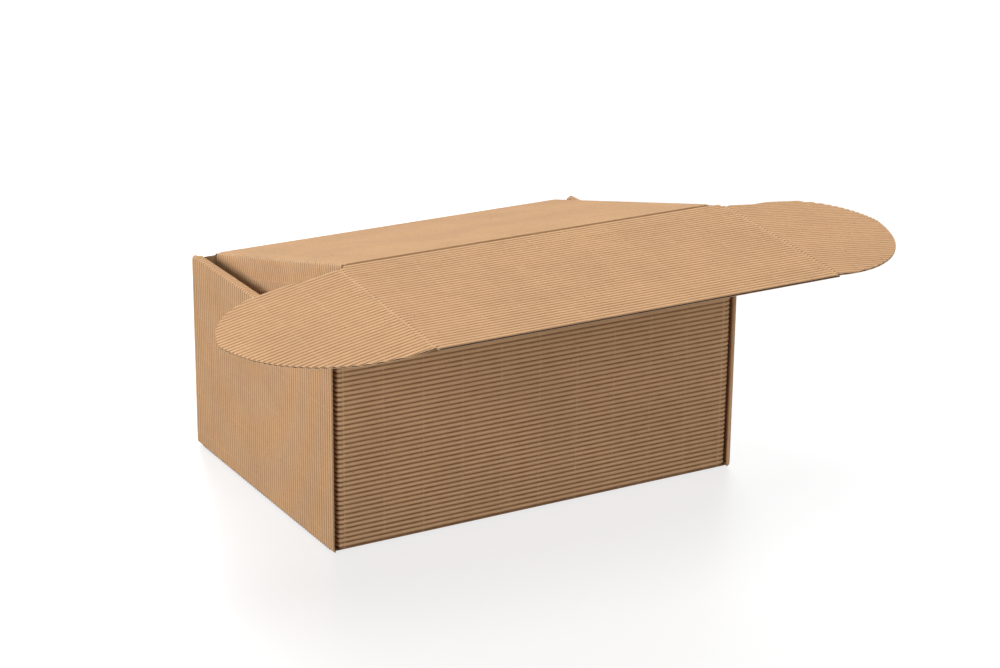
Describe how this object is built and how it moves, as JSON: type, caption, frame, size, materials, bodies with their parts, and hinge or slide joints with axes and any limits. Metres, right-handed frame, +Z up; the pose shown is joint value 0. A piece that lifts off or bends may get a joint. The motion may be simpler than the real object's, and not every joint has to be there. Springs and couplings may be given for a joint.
{
  "type": "mailer box",
  "caption": "Roll-end mailer box folded from one sheet of plain open-fluted kraft board, lid ajar, with a tuck flap and two large rounded ears",
  "frame": {"origin": "middle of the tray's footprint, on the flat under side of the base that the box stands on", "axes": "+X along the width to the box's right as seen from the front, +Y from the front to the lid hinge at the rear, +Z up"},
  "size_m": [0.4895, 0.3421, 0.1915],
  "materials": {
    "kraft": "matte"
  },
  "bodies": {
    "tray": {"tray": "kraft"},
    "lid": {"lid": "kraft"},
    "left_side_flap": {"left_side_flap": "kraft"},
    "right_side_flap": {"right_side_flap": "kraft"},
    "tuck_flap": {"tuck_flap": "kraft"},
    "left_ear": {"left_ear": "kraft"},
    "right_ear": {"right_ear": "kraft"}
  },
  "joints": [
    {"name": "lid_hinge", "type": "hinge", "parent": "tray", "child": "lid", "pos_m": [0, 0.1064, 0.1392], "axis": [-1, 0, 0], "range_deg": [-14, 166]},
    {"name": "tuck_fold", "type": "hinge", "parent": "lid", "child": "tuck_flap", "pos_m": [0, -0.09794, 0.19015], "axis": [1, 0, 0], "range_deg": [-19, 68.7]},
    {"name": "left_ear_fold", "type": "hinge", "parent": "tuck_flap", "child": "left_ear", "pos_m": [-0.1453, -0.09794, 0.19015], "axis": [0, -0.9962, -0.0872], "range_deg": [-11, 67]},
    {"name": "right_ear_fold", "type": "hinge", "parent": "tuck_flap", "child": "right_ear", "pos_m": [0.1453, -0.09794, 0.19015], "axis": [0, 0.9962, 0.0872], "range_deg": [-6.3, 71.7]},
    {"name": "left_side_crease", "type": "hinge", "parent": "lid", "child": "left_side_flap", "pos_m": [-0.1375, 0.1064, 0.1392], "axis": [0, -0.9703, 0.2419], "range_deg": [0, 80]},
    {"name": "right_side_crease", "type": "hinge", "parent": "lid", "child": "right_side_flap", "pos_m": [0.1375, 0.1064, 0.1392], "axis": [0, 0.9703, -0.2419], "range_deg": [0, 80]}
  ]
}
